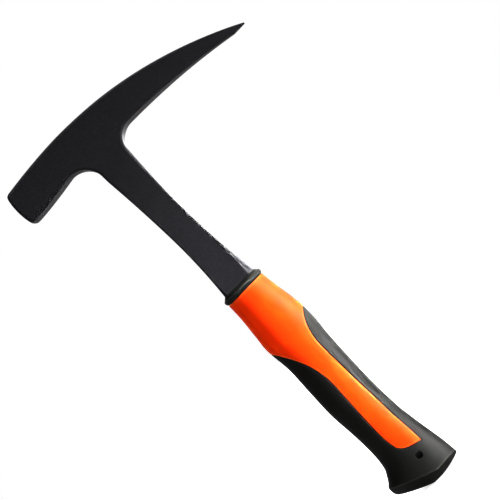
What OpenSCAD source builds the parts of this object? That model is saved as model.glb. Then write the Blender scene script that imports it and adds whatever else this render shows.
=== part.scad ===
// Rock hammer with a pointed pick: a one-piece forging (head, shank and tang)
// in a moulded grip. +Z runs up the shank to the head, the pick points to +X,
// and Y is the thickness. z = 0 is the lowest point of the butt, and the
// origin is the centre of the bounding box in X and Y.

/* [Head] */
// Height of the top of the head above the butt
overall_h = 283.3; // [272:0.1:296]
// From the shank's axis to the point of the pick
pick_len = 104.9; // [96:0.1:112]
// From the shank's axis to the crown of the striking face
poll_len = 59.1; // [52:0.1:66]
// Height of the poll at the striking face
poll_h = 20.5; // [18:0.1:22]
// Thickness of the head, flat side to flat side
head_t = 22; // [20:0.1:24]
// How far the point sits below the top of the head
pick_drop = 27.4; // [24:0.1:31]
// Crown of the striking face
face_crown = 1.2; // [0.6:0.1:1.8]
// Length of the ground facet under the point
facet_len = 8; // [5:0.5:12]
// Width of the bevel along the underside of the head
edge_bevel = 1.2; // [0.8:0.1:3]

/* [Shank] */
// Width of the shank at its waist
shank_w = 16.4; // [14:0.1:18]
// Thickness of the shank
shank_t = 14; // [12:0.1:16]
// Width of the bevel along the shank
shank_bevel = 0.6; // [0.4:0.1:1.2]
// Radius of the fillet between the poll and the shank
front_fillet = 12.8; // [10:0.1:14]
// Radius of the fillet between the pick and the shank
back_fillet = 11.9; // [9:0.1:13]
// Width of the tang inside the grip
tang_w = 14; // [10:0.5:16]
// Thickness of the tang inside the grip
tang_t = 9; // [6:0.5:11]
// Diameter of the keying holes in the tang
key_d = 6.5; // [4:0.5:8]

/* [Grip] */
// Height of the grip's mouth, where the collar sits, above the butt
mouth_z = 149.8; // [146:0.1:152]
// Scale of the grip's width
grip_w_scale = 1; // [0.95:0.01:1.04]
// Half thickness of the grip at its fullest
grip_half_t = 12.3; // [11.6:0.1:13.4]
// Thickness of the rubber over the core
rubber_t = 2.4; // [1.8:0.1:3]
// Diameter of the lanyard hole
lanyard_d = 4; // [3:0.1:6]
// Height of the lanyard hole above the butt
lanyard_z = 17.8; // [16:0.1:18]

/* [Collar] */
// Height of the collar above the grip's mouth
collar_h = 4.9; // [4:0.1:7]
// How far the collar stands out past the mouth of the grip
collar_proud = 0.7; // [0.3:0.1:1.2]
// Depth of the collar's skirt inside the grip
skirt_h = 9; // [5:0.5:12]

/* [Hidden] */

// The bounding box is centred on the origin in X.
shift_x = -(pick_len - poll_len) / 2;

function clamp(v, lo, hi) = min(max(v, lo), hi);
function smooth(t) = let (c = clamp(t, 0, 1)) c * c * (3 - 2 * c);
function mix(a, b, t) = a + (b - a) * t;

// Smooth curve through a short table of [position, value] rows that rises in
// position: cubic segments with slopes from the neighbouring rows.
function slope(t, i) =
    i == 0 ? (t[1][1] - t[0][1]) / (t[1][0] - t[0][0]) :
    i == len(t) - 1 ? (t[i][1] - t[i - 1][1]) / (t[i][0] - t[i - 1][0]) :
    (t[i + 1][1] - t[i - 1][1]) / (t[i + 1][0] - t[i - 1][0]);
function row_of(t, v, i = 0) = i >= len(t) - 2 || v < t[i + 1][0] ? i : row_of(t, v, i + 1);
function curve(t, v) =
    v <= t[0][0] ? t[0][1] :
    v >= t[len(t) - 1][0] ? t[len(t) - 1][1] :
    let (i = row_of(t, v), w = t[i + 1][0] - t[i][0], u = (v - t[i][0]) / w,
         m0 = slope(t, i) * w, m1 = slope(t, i + 1) * w)
    (2 * pow(u, 3) - 3 * u * u + 1) * t[i][1] + (pow(u, 3) - 2 * u * u + u) * m0
    + (3 * u * u - 2 * pow(u, 3)) * t[i + 1][1] + (pow(u, 3) - u * u) * m1;

// ---- Forging: its outline in XZ -------------------------------------------
crest_x = -12;
face_x = -(poll_len - 2);
tip_x = pick_len;
root_z = overall_h - 20.7;       // underside of the poll where its fillet starts
lf_x = -11.5 - front_fillet;     // centre of the front fillet
lf_z = root_z - front_fillet;
rf_x = 9 + back_fillet;          // centre of the back fillet
rf_z = root_z - 0.8 - back_fillet;
tang_z = 24;                     // lowest point of the tang

// Top of the head: a long arc that falls away faster towards the point.
function top_z(x) = overall_h - (x > crest_x
    ? pick_drop * pow((x - crest_x) / (tip_x - crest_x), 2.1)
    : 4.2 * pow((crest_x - x) / (poll_len + crest_x), 1.7));
// Underside of the poll, from the face to the front fillet.
poll_z = top_z(face_x) - poll_h;
function poll_under(x) = mix(poll_z, root_z, pow(clamp((x - face_x - 3) / (lf_x - face_x - 3), 0, 1), 1.35));
// Underside of the pick, from the back fillet to the heel of the facet.
heel_x = tip_x - facet_len;
heel_z = top_z(tip_x) - 0.9;
function pick_under(x) = x < heel_x
    ? mix(root_z - 0.8, heel_z, pow((x - rf_x) / (heel_x - rf_x), 2.1))
    : mix(heel_z, top_z(tip_x) - 0.8, (x - heel_x) / facet_len);
// Edges of the shank, as distances from its axis.
function shank_front(z) = let (y = z - 163.5) shank_w * 0.5 + 0.66
    + (y < 27 ? 2 * pow((27 - y) / 36, 2) : 2.6 * pow(clamp((y - 27) / 55, 0, 1), 1.6));
function shank_back(z) = let (y = z - 163.5) shank_w * 0.5 - 0.83
    + (y < 50 ? 3.3 * pow((50 - y) / 58, 2) : 1.45 * pow(clamp((y - 50) / 34, 0, 1), 1.5));
shank_end = 154;                 // below this the shank runs straight into the grip
tang_top = 132;
function to_tang(z) = smooth((z - tang_top) / 8);
function edge_front(z) = z > shank_end ? shank_front(z) : mix(tang_w / 2, shank_front(shank_end), to_tang(z));
function edge_back(z) = z > shank_end ? shank_back(z) : mix(tang_w / 2, shank_back(shank_end), to_tang(z));

// Half thickness: the poll is flat-sided, the pick tapers to its point, and
// the head runs down into the thinner shank and then the tang.
function half_plan(x) = x < 16 ? head_t / 2
    : x < heel_x ? mix(head_t / 2, 2.2, pow((x - 16) / (heel_x - 16), 1.4))
    : mix(2.2, 0.6, (x - heel_x) / facet_len);
function half_side(z) = z > 160
    ? mix(shank_t / 2, head_t / 2, smooth((z - 222) / (root_z - 5 - 222)))
    : mix(tang_t / 2, shank_t / 2, to_tang(z));
function half_t(p) = min(half_plan(p[0]), half_side(p[1]));
// Width of the bevel: full under the head, narrower on the shank, along the
// top and round the striking face, fading out at the point and on the tang.
// The shank's palm-side corner is rounded more where it runs into the collar.
function neck(z) = 1.9 * smooth((180 - z) / 26) * smooth((z - 140) / 8);
function mouth_bevel(z) = mix(1 + 0.5 * smooth((z - 132) / 8), shank_bevel, smooth((z - 152) / 14));
function bevel_at(p) = min(p[1] < 182 ? mouth_bevel(p[1]) + (p[0] > 0 ? neck(p[1]) : 0)
    : p[0] < 60 ? mix(1.1, mix(shank_bevel, edge_bevel, smooth((p[1] - 226) / 26)), smooth((p[0] + poll_len - 2) / 9))
    : mix(edge_bevel, 0.3, clamp((p[0] - 60) / (tip_x - 64), 0, 1)),
    p[1] > top_z(p[0]) - 4 ? 1.1 : 9);

// Pairs of outline points across each limb.
face_mid = (poll_z + top_z(face_x)) / 2;
face_half = poll_h / 2;
n_face = 6;
face_pairs = [for (k = [1 : n_face]) let (s = k / (n_face + 0.6),
        u = face_half * (1 - pow(1 - s, 1.6)),
        x = -poll_len + face_crown * pow(u / face_half, 2) + 1.2 * pow(s, 6))
    [[x, face_mid - u], [x, face_mid + u * 0.98]]];
n_poll = 14;
poll_pairs = [for (k = [0 : n_poll]) let (x = mix(face_x + 1.6, lf_x, k / n_poll))
    [[x, poll_under(x)], [x, top_z(x)]]];
pairs_a = concat(face_pairs, poll_pairs);
n_pick = 34;
pairs_p = [for (k = [0 : n_pick]) let (x = mix(rf_x, tip_x, k / n_pick))
    [[x, pick_under(x)], [x, top_z(x)]]];
n_fil = 12;
fillet_pairs = [for (k = [0 : n_fil]) let (a = 90 * k / n_fil)
    [[lf_x + front_fillet * sin(a), lf_z + front_fillet * cos(a)],
     [rf_x - back_fillet * sin(a), rf_z + back_fillet * cos(a)]]];
n_shank = 30;
shank_top = min(lf_z, rf_z) - 3;
shank_pairs = [for (k = [0 : n_shank]) let (z = mix(shank_top, shank_end, k / n_shank))
    [[-edge_front(z), z], [edge_back(z), z]]];
n_tang = 14;
tang_pairs = [for (k = [1 : n_tang]) let (z = mix(shank_end, tang_z, k / n_tang))
    [[-edge_front(z), z], [edge_back(z), z]]];
pairs_s = concat(fillet_pairs, shank_pairs, tang_pairs);
n_j = 12;
crest = [for (k = [1 : n_j - 1]) let (x = mix(rf_x, lf_x, k / n_j)) [x, top_z(x)]];

a = len(pairs_a) - 1;
s = len(pairs_s) - 1;
p = len(pairs_p) - 1;
j = len(crest);
outline = concat(
    [for (k = [0 : a]) pairs_a[k][0]],
    [for (k = [1 : s]) pairs_s[k][0]],
    [for (k = [s : -1 : 1]) pairs_s[k][1]],
    [for (k = [0 : p]) pairs_p[k][0]],
    [for (k = [p : -1 : 0]) pairs_p[k][1]],
    crest,
    [for (k = [a : -1 : 0]) pairs_a[k][1]]);
N = len(outline);
function i_al(k) = k;
function i_l(k) = a + k;
function i_r(k) = k == 0 ? a + 2 * s + 1 : a + 2 * s + 1 - k;
function i_pl(k) = a + 2 * s + 1 + k;
function i_pu(k) = a + 2 * s + 2 * p + 2 - k;
function i_c(k) = a + 2 * s + 2 * p + 3 + k;
function i_au(k) = a + 2 * s + 2 * p + 3 + j + a - k;

function unit(v) = v / max(norm(v), 1e-6);
function inward(i) = let (d = unit(unit(outline[(i + 1) % N] - outline[i]) + unit(outline[i] - outline[(i + N - 1) % N])))
    [-d[1], d[0]];
// One ring of points round the forging: inset by f of the bevel, and g of the
// bevel below the flat side.
function ring(f, g, side) = [for (i = [0 : N - 1]) let (b = bevel_at(outline[i]), q = outline[i] + inward(i) * b * f)
    [q[0], side * (half_t(f > 0 ? q : outline[i]) - min(b * g, half_t(outline[i]) * 0.7)), q[1]]];
function quad(p0, p1, p2, p3) = [[p0, p1, p2], [p0, p2, p3]];
function flat(l) = [for (q = l) for (t = q) t];
// The two flat sides, as strips across each limb; o is the ring's first index.
function cap(o) = concat(
    flat([for (k = [0 : a - 1]) quad(o + i_al(k), o + i_au(k), o + i_au(k + 1), o + i_al(k + 1))]),
    flat([for (k = [0 : s - 1]) quad(o + i_l(k), o + i_r(k), o + i_r(k + 1), o + i_l(k + 1))]),
    flat([for (k = [0 : p - 1]) quad(o + i_pl(k), o + i_pu(k), o + i_pu(k + 1), o + i_pl(k + 1))]),
    let (m = floor(j / 2)) concat(
        [[o + i_l(0), o + i_au(a), o + i_c(j - 1)]],
        [for (k = [m : j - 2]) [o + i_l(0), o + i_c(k + 1), o + i_c(k)]],
        [[o + i_l(0), o + i_c(m), o + i_r(0)]],
        [for (k = [0 : m - 1]) [o + i_r(0), o + i_c(k + 1), o + i_c(k)]],
        [[o + i_r(0), o + i_c(0), o + i_pu(0)]]));
function reversed(faces) = [for (t = faces) [t[2], t[1], t[0]]];
function band(o0, o1) = flat([for (i = [0 : N - 1]) let (n = (i + 1) % N) quad(o0 + i, o0 + n, o1 + n, o1 + i)]);

module forging_blank() {
    polyhedron(
        points = concat(ring(1, 0, -1), ring(0.3, 0.3, -1), ring(0, 1, -1), ring(0, 1, 1), ring(0.3, 0.3, 1), ring(1, 0, 1)),
        faces = concat(cap(0), reversed(cap(5 * N)), band(0, N), band(N, 2 * N), band(2 * N, 3 * N), band(3 * N, 4 * N), band(4 * N, 5 * N)),
        convexity = 6);
}

module tang_holes() {
    for (z = [50, 80, 110]) translate([0, 20, z]) rotate([90, 0, 0]) cylinder(d = key_d, h = 40, $fn = 48);
}

// ---- Grip: rounded sections stacked up the shank's axis --------------------
// Distance from the axis to the finger side and to the palm side of the grip,
// and half its thickness, by height above the butt.
grip_front = [[0, 21.6], [2, 22.2], [5, 21.8], [11, 19.8], [16, 17.8], [21, 15.9], [30, 14.7], [40, 14.5], [50, 14.8], [66, 15.8], [84, 15.2], [101, 14.5], [117, 15.7], [127, 14.7], [139, 13.4], [149.8, 13]];
grip_back = [[0, 20.2], [6, 19.5], [14, 18.4], [20, 17.5], [33, 15.6], [43, 14.4], [58, 13.8], [78, 14.2], [101, 15.4], [112, 16.4], [122, 16.5], [130, 15.6], [139, 14.2], [149.8, 13]];
grip_thick = [[0, 12.2], [12, 12.2], [25, 11.7], [42, 11.7], [62, 12.2], [84, 12.3], [105, 12.2], [120, 11.9], [135, 11.3], [149.8, 10.7]];
section_n = 2.1;
M = 32;
// The butt's end is a shallow V: lowest a little to the palm side, higher at
// the finger side. Its bevel has an upper edge with a corner of its own.
function butt_z(x) = x > 5 ? 2.4 * pow((x - 5) / 15, 1.3) : x < -1 ? 8.2 * pow((-1 - x) / 19, 1.1) : 0;
butt_edge = [[-21, 1], [-16, 1.7], [-10.8, 2.05], [-6.9, 2.15], [-2.35, 2.15], [1.2, 1.4], [4.5, 0.1], [9.2, -0.5], [13.4, -1.2], [19.9, -3.3]];
function sgn_pow(v, e) = (v < 0 ? -1 : 1) * pow(abs(v), e);
function sect(z, off, tk) = let (f = grip_w_scale * curve(grip_front, z) - off, b = grip_w_scale * curve(grip_back, z) - off,
        t = curve(grip_thick, z) * grip_half_t / 12.3 * tk - off)
    [for (i = [0 : M - 1]) let (c = cos(360 * i / M), w = sin(360 * i / M))
        [(b - f) / 2 + (b + f) / 2 * sgn_pow(c, 2 / section_n), t * sgn_pow(w, 2 / section_n)]];
// Each station is [height, how far the butt's V reaches into it, thickness
// factor, inset, share of the bevel's upper edge].
function stations(off) = off == 0
    ? concat([[0, 1, 0.62, 0.5, 0], [2.6, 0.98, 0.81, 0.18, 0.5], [5.2, 0.95, 1, 0, 1]], [for (k = [0 : 26]) let (z = mix(12, mouth_z, k / 26)) [z, pow(clamp(1 - z / 40, 0, 1), 1.1), 1, 0, 0]])
    : [for (k = [0 : 22]) [mix(21, mouth_z - 6, k / 22), 0, 1, 0, 0]];
function loft_points(off) = [for (q = stations(off)) let (r = sect(q[0], off + q[3], q[2])) for (v = r) [v[0], v[1], q[0] + q[1] * butt_z(v[0]) + q[4] * curve(butt_edge, v[0])]];
module grip_loft(off) {
    K = len(stations(off));
    polyhedron(
        points = loft_points(off),
        faces = concat(
            flat([for (k = [0 : K - 2]) for (i = [0 : M - 1]) let (n = (i + 1) % M) quad(k * M + i, (k + 1) * M + i, (k + 1) * M + n, k * M + n)]),
            flat([for (i = [1 : M / 2 - 2]) quad(i, i + 1, M - i - 1, M - i)]), [[0, 1, M - 1], [M / 2, M / 2 + 1, M / 2 - 1]],
            let (o = (K - 1) * M) concat(flat([for (i = [1 : M / 2 - 2]) quad(o + i, o + M - i, o + M - i - 1, o + i + 1)]),
                [[o, o + M - 1, o + 1], [o + M / 2, o + M / 2 - 1, o + M / 2 + 1]])),
        convexity = 6);
}

// The hard core shows through a window in the rubber: the whole grip at the
// mouth, then a stripe down each side face that ends in a point near the butt.
window_back = [[22.6, 10.6], [32.7, 10.1], [44.6, 9.3], [60.6, 8.9], [80.5, 8.4], [96.4, 8.2], [104.9, 8.7], [112.5, 10.9], [118, 14.1], [122.2, 17.5]];
window_front = [[29.4, 2.9], [36.8, 4.1], [50.7, 3.9], [66.6, 3.1], [82.5, 2.5], [93.4, 4.5], [102.4, 8.3], [109.2, 12.3], [116.5, 17.5]];
module core_window() {
    rotate([90, 0, 0]) linear_extrude(height = 80, center = true) polygon(concat(
        [for (k = [0 : 30]) let (z = mix(22.6, 122.2, k / 30)) [curve(window_back, z), z]],
        [[30, 124], [30, mouth_z + 20], [-30, mouth_z + 20], [-30, 118]],
        [for (k = [0 : 28]) let (z = mix(116.5, 29.4, k / 28)) [-curve(window_front, z), z]],
        [[-0.8, 27], [1.6, 25.5], [4.3, 24.5], [7.3, 23.6]]));
}

// ---- Collar -----------------------------------------------------------------
// A ring of M points: half width w, half thickness t, at height z.
function oval(w, t, z, e) = [for (i = [0 : M - 1]) [w * sgn_pow(cos(360 * i / M), 2 / e), t * sgn_pow(sin(360 * i / M), 2 / e), z]];
module stack(rings) {
    K = len(rings);
    polyhedron(points = flat(rings), faces = concat(
        flat([for (k = [0 : K - 2]) for (i = [0 : M - 1]) let (n = (i + 1) % M) quad(k * M + i, (k + 1) * M + i, (k + 1) * M + n, k * M + n)]),
        [[for (i = [0 : M - 1]) i], [for (i = [M - 1 : -1 : 0]) (K - 1) * M + i]]), convexity = 4);
}
mouth_w = 13 * grip_w_scale;
mouth_t = 10.7 * grip_half_t / 12.3;
skirt_w = mouth_w - 1.2;
skirt_t = mouth_t - 1.4;
module skirt(extra) {
    stack([oval(skirt_w + extra, skirt_t + extra, mouth_z - skirt_h, 2.4), oval(skirt_w + extra, skirt_t + extra, mouth_z + 0.01, 2.4)]);
}

// ---- Sub-parts ----------------------------------------------------------------
module hammer_forging() {
    color("#2a2a2d") translate([shift_x, 0, 0]) difference() {
        forging_blank();
        tang_holes();
    }
}

module shank_collar() {
    color("#3a3b39") translate([shift_x, 0, 0]) difference() {
        union() {
            stack([oval(mouth_w, mouth_t, mouth_z, section_n),
                oval(mouth_w + collar_proud, mouth_t + collar_proud, mouth_z + collar_h * 0.3, section_n),
                oval(mouth_w + collar_proud, mouth_t + collar_proud, mouth_z + collar_h * 0.55, section_n),
                oval(mouth_w - 1.8, mouth_t - 3.1, mouth_z + collar_h, 4)]);
            skirt(0);
        }
        forging_blank();
    }
}

module grip_core() {
    color("#ff6a1a") translate([shift_x, 0, 0]) difference() {
        union() {
            intersection() {
                grip_loft(0);
                core_window();
            }
            grip_loft(rubber_t);
        }
        skirt(0);
        difference() {
            forging_blank();
            tang_holes();
        }
    }
}

module grip_overmould() {
    color("#343536") translate([shift_x, 0, 0]) difference() {
        grip_loft(0);
        core_window();
        grip_loft(rubber_t);
        translate([3.6, 30, lanyard_z]) rotate([90, 0, 0]) cylinder(d = lanyard_d, h = 60, $fn = 64);
    }
}

hammer_forging();
shank_collar();
grip_core();
grip_overmould();
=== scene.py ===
import math

import bmesh
import bpy
import numpy as np
from mathutils import Matrix, Vector
from mathutils.geometry import delaunay_2d_cdt


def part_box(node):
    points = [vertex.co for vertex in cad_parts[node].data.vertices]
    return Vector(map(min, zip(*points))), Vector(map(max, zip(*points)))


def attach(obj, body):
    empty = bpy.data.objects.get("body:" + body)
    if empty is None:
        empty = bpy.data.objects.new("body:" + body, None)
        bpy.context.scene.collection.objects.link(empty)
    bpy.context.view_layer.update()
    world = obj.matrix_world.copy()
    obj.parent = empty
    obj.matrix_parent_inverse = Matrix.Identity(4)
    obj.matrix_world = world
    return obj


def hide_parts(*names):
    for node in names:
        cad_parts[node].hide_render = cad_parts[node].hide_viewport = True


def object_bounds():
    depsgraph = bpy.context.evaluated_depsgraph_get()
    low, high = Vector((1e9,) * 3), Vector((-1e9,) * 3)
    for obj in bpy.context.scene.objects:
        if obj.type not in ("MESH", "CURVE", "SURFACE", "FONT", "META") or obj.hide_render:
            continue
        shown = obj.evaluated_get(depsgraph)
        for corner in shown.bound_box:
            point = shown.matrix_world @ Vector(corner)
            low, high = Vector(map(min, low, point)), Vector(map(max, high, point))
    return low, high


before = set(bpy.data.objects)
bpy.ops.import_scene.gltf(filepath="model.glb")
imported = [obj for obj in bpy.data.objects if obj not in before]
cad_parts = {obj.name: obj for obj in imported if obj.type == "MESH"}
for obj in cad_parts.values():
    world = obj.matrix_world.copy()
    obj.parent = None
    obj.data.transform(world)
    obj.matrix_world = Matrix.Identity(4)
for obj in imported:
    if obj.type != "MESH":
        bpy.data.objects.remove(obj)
cad_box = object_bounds()

# ---------------------------------------------------------------------------
# Shared design values, in millimetres from the shank's axis and the butt, the
# same ones that the CAD model is drawn with.
# ---------------------------------------------------------------------------
OVERALL_H, PICK_LEN, POLL_LEN, POLL_H = 283.3, 104.9, 59.1, 20.5
HEAD_T, PICK_DROP, FACE_CROWN, FACET_LEN, EDGE_BEVEL = 22.0, 27.4, 1.2, 8.0, 1.2
SHANK_W, SHANK_T, SHANK_BEVEL, FRONT_FILLET, BACK_FILLET = 16.4, 14.0, 0.6, 12.8, 11.9
TANG_W, TANG_T = 14.0, 9.0
MOUTH_Z, GRIP_HALF_T, RUBBER_T = 149.8, 12.3, 2.4
LANYARD_D, LANYARD_X, LANYARD_Z = 4.0, 3.6, 17.8
COLLAR_H, COLLAR_PROUD, SKIRT_H = 4.9, 0.7, 9.0
SECTION_N = 2.1

# The shank's axis in the row frame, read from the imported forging.
AXIS_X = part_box("hammer_forging")[1].x * 1000.0 - PICK_LEN


def clamp(v, lo, hi):
    v = np.asarray(v, float) if lo is None else np.maximum(v, lo)
    return v if hi is None else np.minimum(v, hi)


def smooth(t):
    c = clamp(t, 0.0, 1.0)
    return c * c * (3 - 2 * c)


def mix(a, b, t):
    return a + (b - a) * t


def curve(table, v):
    """Smooth curve through a short table of (position, value) rows."""
    t = np.asarray(table, float)
    p, q = t[:, 0], t[:, 1]
    m = np.empty(len(p))
    m[0] = (q[1] - q[0]) / (p[1] - p[0])
    m[-1] = (q[-1] - q[-2]) / (p[-1] - p[-2])
    m[1:-1] = (q[2:] - q[:-2]) / (p[2:] - p[:-2])
    v = np.asarray(v, float)
    vc = clamp(v, p[0], p[-1])
    i = clamp(np.searchsorted(p, vc, side="right") - 1, 0, len(p) - 2).astype(int)
    w = p[i + 1] - p[i]
    u = (vc - p[i]) / w
    return (
        (2 * u**3 - 3 * u * u + 1) * q[i]
        + (u**3 - 2 * u * u + u) * m[i] * w
        + (3 * u * u - 2 * u**3) * q[i + 1]
        + (u**3 - u * u) * m[i + 1] * w
    )


def make_object(name, verts_mm, faces, weld=1e-3, painted_highlight=None):
    """A closed mesh from points in the shank-axis frame in millimetres. The last
    argument says how much each point is painted lighter: a painted highlight along edges."""
    v = np.asarray(verts_mm, float).copy()
    v[:, 0] += AXIS_X
    v *= 0.001
    mesh = bpy.data.meshes.new(name)
    mesh.from_pydata([tuple(p) for p in v], [], [tuple(int(i) for i in f) for f in faces])
    # a per-point painted highlight, which the materials read to paint edges lighter
    layer = mesh.attributes.new("painted_highlight", "FLOAT", "POINT")
    layer.data.foreach_set("value", np.zeros(len(v)) if painted_highlight is None else np.asarray(painted_highlight, float))
    bm = bmesh.new()
    bm.from_mesh(mesh)
    bmesh.ops.remove_doubles(bm, verts=bm.verts, dist=weld * 0.001)
    bmesh.ops.dissolve_degenerate(bm, edges=bm.edges, dist=1e-7)
    loose = [x for x in bm.verts if not x.link_faces]
    bmesh.ops.delete(bm, geom=loose, context="VERTS")
    bmesh.ops.recalc_face_normals(bm, faces=bm.faces)
    if bm.calc_volume(signed=True) < 0:
        bmesh.ops.reverse_faces(bm, faces=bm.faces)
    for f in bm.faces:
        f.smooth = True
    open_edges = sum(1 for e in bm.edges if len(e.link_faces) != 2)
    print(name, "verts", len(bm.verts), "faces", len(bm.faces), "open or shared edges", open_edges,
          "volume mm3", round(bm.calc_volume(signed=True) * 1e9, 1))
    bm.to_mesh(mesh)
    bm.free()
    ob = bpy.data.objects.new(name, mesh)
    bpy.context.scene.collection.objects.link(ob)
    return ob


class Mesh:
    """Collects grids of points and their quads."""

    def __init__(self):
        self.v, self.f, self.w, self.n = [], [], [], 0

    def add(self, pts, painted_highlight=0.0):
        pts = np.asarray(pts, float).reshape(-1, 3)
        i = np.arange(self.n, self.n + len(pts))
        self.v.append(pts)
        self.w.append(np.broadcast_to(np.asarray(painted_highlight, float).ravel(), (len(pts),)))
        self.n += len(pts)
        return i

    def grid(self, pts, closed=False, painted_highlight=0.0):
        """pts is rows x columns x 3; closed joins the last column to the first."""
        pts = np.asarray(pts, float)
        r, c = pts.shape[:2]
        i = self.add(pts, painted_highlight).reshape(r, c)
        j = np.roll(i, -1, axis=1)
        last = c if closed else c - 1
        for a in range(r - 1):
            for b in range(last):
                self.f.append((i[a, b], j[a, b], j[a + 1, b], i[a + 1, b]))
        return i

    def faces(self, f):
        self.f.extend(f)

    def out(self, name, weld=1e-3):
        return make_object(name, np.concatenate(self.v), self.f, weld, np.concatenate(self.w))


# ---------------------------------------------------------------------------
# Forging: head, shank and tang in one mesh. The outline runs round the side
# face; rings of it make the rounded bevel and the side walls, and strips
# across each limb close the two flat sides.
# ---------------------------------------------------------------------------
crest_x = -12.0
face_x = -(POLL_LEN - 2)
tip_x = PICK_LEN
root_z = OVERALL_H - 20.7
lf_x = -11.5 - FRONT_FILLET
lf_z = root_z - FRONT_FILLET
rf_x = 9 + BACK_FILLET
rf_z = root_z - 0.8 - BACK_FILLET
tang_z = 24.0
shank_end, tang_top = 154.0, 132.0


def top_z(x):
    x = np.asarray(x, float)
    r = PICK_DROP * (clamp(x - crest_x, 0, None) / (tip_x - crest_x)) ** 2.1
    l = 4.2 * (clamp(crest_x - x, 0, None) / (POLL_LEN + crest_x)) ** 1.7
    return OVERALL_H - np.where(x > crest_x, r, l)


poll_z = float(top_z(face_x)) - POLL_H
heel_x = tip_x - FACET_LEN
heel_z = float(top_z(tip_x)) - 0.9


def poll_under(x):
    return mix(poll_z, root_z, clamp((x - face_x - 3) / (lf_x - face_x - 3), 0, 1) ** 1.35)


def pick_under(x):
    a = mix(root_z - 0.8, heel_z, clamp((x - rf_x) / (heel_x - rf_x), 0, 1) ** 2.1)
    b = mix(heel_z, float(top_z(tip_x)) - 0.8, (x - heel_x) / FACET_LEN)
    return np.where(x < heel_x, a, b)


def shank_front(z):
    y = z - 163.5
    return SHANK_W * 0.5 + 0.66 + np.where(
        y < 27, 2 * (clamp(27 - y, 0, None) / 36) ** 2, 2.6 * clamp((y - 27) / 55, 0, 1) ** 1.6)


def shank_back(z):
    y = z - 163.5
    return SHANK_W * 0.5 - 0.83 + np.where(
        y < 50, 3.3 * (clamp(50 - y, 0, None) / 58) ** 2, 1.45 * clamp((y - 50) / 34, 0, 1) ** 1.5)


def to_tang(z):
    return smooth((z - tang_top) / 8)


def edge_front(z):
    z = np.asarray(z, float)
    return np.where(z > shank_end, shank_front(z), mix(TANG_W / 2, shank_front(np.float64(shank_end)), to_tang(z)))


def edge_back(z):
    z = np.asarray(z, float)
    return np.where(z > shank_end, shank_back(z), mix(TANG_W / 2, shank_back(np.float64(shank_end)), to_tang(z)))


def half_plan(x):
    a = mix(HEAD_T / 2, 2.2, clamp((x - 16) / (heel_x - 16), 0, None) ** 1.4)
    b = mix(2.2, 0.6, (x - heel_x) / FACET_LEN)
    return np.where(x < 16, HEAD_T / 2, np.where(x < heel_x, a, b))


def half_side(z):
    a = mix(SHANK_T / 2, HEAD_T / 2, smooth((z - 222) / (root_z - 5 - 222)))
    b = mix(TANG_T / 2, SHANK_T / 2, to_tang(z))
    return np.where(z > 160, a, b)


def half_t(x, z):
    return np.minimum(half_plan(x), half_side(z))


def neck(z):
    return 1.9 * smooth((180 - z) / 26) * smooth((z - 140) / 8)


def bevel_at(x, z):
    a = mix(1.1, mix(SHANK_BEVEL, EDGE_BEVEL, smooth((z - 226) / 26)), smooth((x + POLL_LEN - 2) / 9))
    b = mix(EDGE_BEVEL, 0.3, clamp((x - 60) / (tip_x - 64), 0, 1))
    c = mix(1 + 0.5 * smooth((z - 132) / 8), SHANK_BEVEL, smooth((z - 152) / 14)) + np.where(x > 0, neck(z), 0.0)
    w = np.where(z < 182, c, np.where(x < 60, a, b))
    return np.where(z > top_z(x) - 4, np.minimum(w, 1.1), w)


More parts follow.
